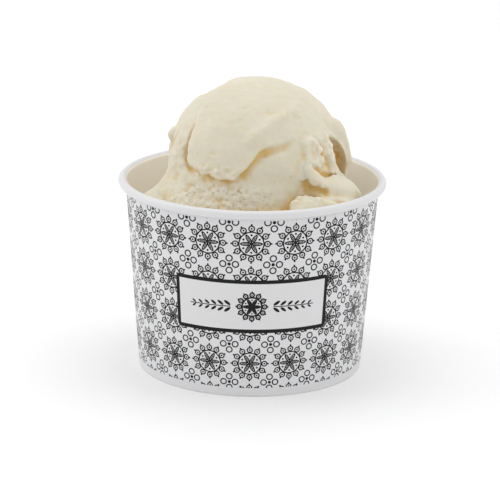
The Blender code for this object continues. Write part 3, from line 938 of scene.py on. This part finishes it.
def cream_mesh(name, clay, shade):
    """A mesh from the clay. The shade clay tells how much clay lies round each point, which sets the
    painted shade in its colour.
    """
    points, quads = clay.skin()
    values = {
        "hollow": shade.hollowness(points, 0.9 * MM),
        "wide_hollow_shade": shade.hollowness(points, 2.6 * MM),
        "sunk_shade": np.clip((SUNK_RADIUS - np.linalg.norm(points - SCOOP_CENTRE, axis=1)) / SUNK_SPAN, 0, 1),
        "porous": np.maximum(porous_band(points), 0.45 * torn_edge(points)),
        "torn": crags(points),
    }
    mesh = bpy.data.meshes.new(name)
    mesh.from_pydata(points.tolist(), [], quads.tolist())
    for label, value in values.items():
        mesh.attributes.new(label, "FLOAT", "POINT").data.foreach_set("value", value.astype(np.float32))
    mesh.shade_smooth()
    return mesh


def keep_largest(mesh):
    """Keep the largest closed body, without loose crumbs and sealed hollows."""
    shape = bmesh.new()
    shape.from_mesh(mesh)
    left = set(shape.verts)
    bodies = []
    while left:
        front = [left.pop()]
        body = list(front)
        while front:
            corner = front.pop()
            for edge in corner.link_edges:
                other = edge.other_vert(corner)
                if other in left:
                    left.remove(other)
                    front.append(other)
                    body.append(other)
        bodies.append(body)
    bodies.sort(key=len)
    for body in bodies[:-1]:
        bmesh.ops.delete(shape, geom=body, context="VERTS")
    shape.to_mesh(mesh)
    shape.free()


def thin_hidden(piece, share):
    """Keep this share of the piece's faces, and join faces only where the cup hides them."""
    hidden = piece.vertex_groups.new(name="hidden")
    low = [corner.index for corner in piece.data.vertices if corner.co.z < HIDDEN_BELOW]
    hidden.add(low, 1.0, "REPLACE")
    thin = piece.modifiers.new("thin", "DECIMATE")
    thin.vertex_group = hidden.name
    thin.ratio = share


class GELATO_OT_wall(bpy.types.Operator):
    """Make the printed side wall with its rolled rim, folded foot and glued seam"""

    bl_idname = "gelato.wall"
    bl_label = "Cup Wall"

    def execute(self, context):
        sizes = context.scene.cup_sizes
        cup = CupShape(sizes)
        inset = cup.board + FOLD_GAP
        stack = 3 * cup.board + 2 * FOLD_GAP
        edge = 0.6 * MM
        profile = [
            (cup.radius(edge), edge),
            (cup.foot - 0.06 * MM, 0.22 * MM),
            (cup.foot - 0.25 * MM, 0.0),
            (cup.foot - stack, 0.0),
            (cup.radius(cup.hem) - stack, cup.hem),
            (cup.radius(cup.hem) - stack + cup.board, cup.hem),
            (cup.radius(cup.board) - inset - cup.board + 0.05 * MM, cup.board),
            (cup.radius(cup.board) - cup.board, cup.board),
        ]
        turns = np.radians(np.linspace(180, -112, 34))
        profile += [(cup.roll_centre + cup.roll * math.cos(a), cup.neck_height + cup.roll * math.sin(a))
                    for a in turns]
        tube = cup.roll - cup.board
        profile += [(cup.roll_centre + tube * math.cos(a), cup.neck_height + tube * math.sin(a))
                    for a in turns[::-1]]
        profile += [(cup.radius(h), h) for h in np.linspace(cup.neck_height, edge, 14)[1:-1]]

        def seam(turn, radius, height):
            """The lap down the back: a slow rise to the upper sheet's edge, then a step down."""
            across = (turn - math.pi) * cup.foot
            rise = np.clip(1 + across / cup.lap, 0.0, 1.0) * (across < 0.2 * MM)
            outside = radius > cup.radius(height) - 0.4 * cup.board
            below_roll = height < cup.neck_height
            return 0.8 * cup.board * rise * np.where(below_roll, outside, 0.35)

        mesh = turned_mesh("printed_wall", profile, sizes.steps, seam)
        material = printed_paper(cup, context.scene.cup_print)
        new_piece("printed_wall", mesh, material, "printed_paper", "cup_wall")
        return {"FINISHED"}


class GELATO_OT_base(bpy.types.Operator):
    """Make the bottom disc with the skirt that stands in the wall's folded foot"""

    bl_idname = "gelato.base"
    bl_label = "Cup Base"

    def execute(self, context):
        sizes = context.scene.cup_sizes
        cup = CupShape(sizes)
        inset = cup.board + FOLD_GAP
        top = base_high.z
        low = base_low.z
        profile = [
            (0.0, top),
            (cup.radius(top) - inset - 0.5 * MM, top),
            (cup.radius(top) - inset, top - 0.2 * MM),
            (cup.radius(low) - inset, low),
            (cup.radius(low) - inset - cup.board, low),
            (cup.radius(top) - inset - cup.board, top - cup.board - 0.4 * MM),
            (cup.radius(top) - inset - cup.board - 0.6 * MM, top - cup.board),
            (0.0, top - cup.board),
        ]
        mesh = turned_mesh("bottom_disc", profile, sizes.steps, closed=False)
        new_piece("bottom_disc", mesh, plain_paper(context.scene.cup_print), "plain_paper", "cup_base")
        return {"FINISHED"}


class GELATO_OT_ice_cream(bpy.types.Operator):
    """Sculpt the scoop and the ice cream that fills the cup below it"""

    bl_idname = "gelato.ice_cream"
    bl_label = "Ice Cream"

    def execute(self, context):
        cream = context.scene.cup_cream
        cup = CupShape(context.scene.cup_sizes)
        material = ice_cream(cream)
        step = cream.grid
        rim = wall_high.x
        low = (-rim, -rim, base_high.z - 2 * MM)
        high = (rim, rim, scoop_high.z + 3 * MM)
        scoop = Clay(low, high, step)
        shape_scoop(scoop)
        filling = Clay(low, high, step)
        shape_filling(filling)
        share = 0.5 * (scoop.field - filling.field)
        whole = Clay(low, high, step)
        whole.field = smooth_min(scoop.field, filling.field, SCOOP_BLEND)
        open_right(whole)
        add_crumbs(whole)
        dress_dome(whole)
        dress_back(whole)
        whole.roughen(surface_relief)
        whole.keep_inside(cup)
        parts = (("scoop", share, "scoop_top", 0.9), ("filling", -share, "scoop_lower", 0.55))
        for name, side, node, kept in parts:
            part = Clay(low, high, step)
            part.field = smooth_max(whole.field, side - SEAM_GAP, SEAM_GAP / 2)
            mesh = cream_mesh(name, part, whole)
            keep_largest(mesh)
            piece = new_piece(name, mesh, material, "ice_cream", node)
            thin_hidden(piece, kept)
        return {"FINISHED"}


class GELATO_OT_stage(bpy.types.Operator):
    """Set up the floor, the soft studio lights and the camera"""

    bl_idname = "gelato.stage"
    bl_label = "Stage"

    def execute(self, context):
        stage = context.scene.cup_stage
        self.add_floor(stage)
        self.add_lights(context, stage)
        self.add_camera(context, stage)
        return {"FINISHED"}

    def add_floor(self, stage):
        half = stage.floor_size / 2
        mesh = bpy.data.meshes.new("floor")
        shape = bmesh.new()
        bmesh.ops.create_grid(shape, x_segments=2, y_segments=2, size=half)
        shape.to_mesh(mesh)
        shape.free()
        paint = Paint("floor", 0.6)
        paint.feed("Base Color", opaque(stage.floor))
        mesh.materials.append(paint.material)
        floor = bpy.data.objects.new("floor", mesh)
        bpy.context.scene.collection.objects.link(floor)

    def add_lights(self, context, stage):
        aim = Vector((0, 0, 0.05))
        lamps = (
            ("top", (0.0, 0.15, 1.3), 1.6, 6.6),
            ("left", (-1.0, 0.1, 0.6), 0.7, 2.0),
            ("right", (1.0, 0.1, 0.6), 0.7, 1.2),
        )
        for name, place, size, power in lamps:
            light = bpy.data.lights.new(name, "AREA")
            light.size = size
            light.energy = power
            lamp = bpy.data.objects.new(name, light)
            lamp.location = place
            lamp.rotation_euler = (Vector(place) - aim).to_track_quat("Z", "Y").to_euler()
            context.scene.collection.objects.link(lamp)
        world = bpy.data.worlds.new("studio")
        context.scene.world = world
        world.use_nodes = True
        sky = world.node_tree.nodes["Background"]
        sky.inputs["Color"].default_value = (1.0, 1.0, 1.0, 1.0)
        sky.inputs["Strength"].default_value = stage.sky
        context.scene.view_settings.view_transform = "Standard"

    def add_camera(self, context, stage):
        target = Vector((0, 0, AIM_SHARE * wall_high.z))
        back = Vector((0, -math.cos(stage.elevation), math.sin(stage.elevation)))
        turn = back.to_track_quat("Z", "Y").to_matrix()
        turn = turn @ Matrix.Rotation(stage.tilt, 3, "X") @ Matrix.Rotation(stage.pan, 3, "Y")
        turn = turn @ Matrix.Rotation(stage.roll, 3, "Z")
        lens = bpy.data.cameras.new("camera")
        lens.sensor_width = 36.0
        lens.lens = stage.focal_length
        lens.clip_start = 0.01
        camera = bpy.data.objects.new("camera", lens)
        camera.matrix_world = Matrix.Translation(target + back * stage.distance) @ turn.to_4x4()
        context.scene.collection.objects.link(camera)
        context.scene.camera = camera


class GELATO_PT_panel(bpy.types.Panel):
    """The cup's sizes and looks, and the steps that make it"""

    bl_idname = "GELATO_PT_panel"
    bl_label = "Gelato Cup"
    bl_space_type = "VIEW_3D"
    bl_region_type = "UI"
    bl_category = "Gelato Cup"

    def draw(self, context):
        for name, settings in GROUPS.items():
            box = self.layout.box()
            for key in settings.__annotations__:
                box.prop(getattr(context.scene, name), key)
        for operator in STEPS:
            self.layout.operator(operator.bl_idname)


GROUPS = {
    "cup_sizes": CupSizes,
    "cup_print": PrintSettings,
    "cup_cream": CreamSettings,
    "cup_stage": StageSettings,
}
STEPS = (GELATO_OT_stage, GELATO_OT_wall, GELATO_OT_base, GELATO_OT_ice_cream)


def register():
    for item in (*GROUPS.values(), *STEPS, GELATO_PT_panel):
        bpy.utils.register_class(item)
    for name, settings in GROUPS.items():
        setattr(bpy.types.Scene, name, PointerProperty(type=settings))


def unregister():
    for name in GROUPS:
        delattr(bpy.types.Scene, name)
    for item in reversed((*GROUPS.values(), *STEPS, GELATO_PT_panel)):
        bpy.utils.unregister_class(item)


def main():
    register()
    bpy.ops.gelato.stage()
    bpy.ops.gelato.wall()
    bpy.ops.gelato.base()
    bpy.ops.gelato.ice_cream()


if __name__ == "__main__":
    main()
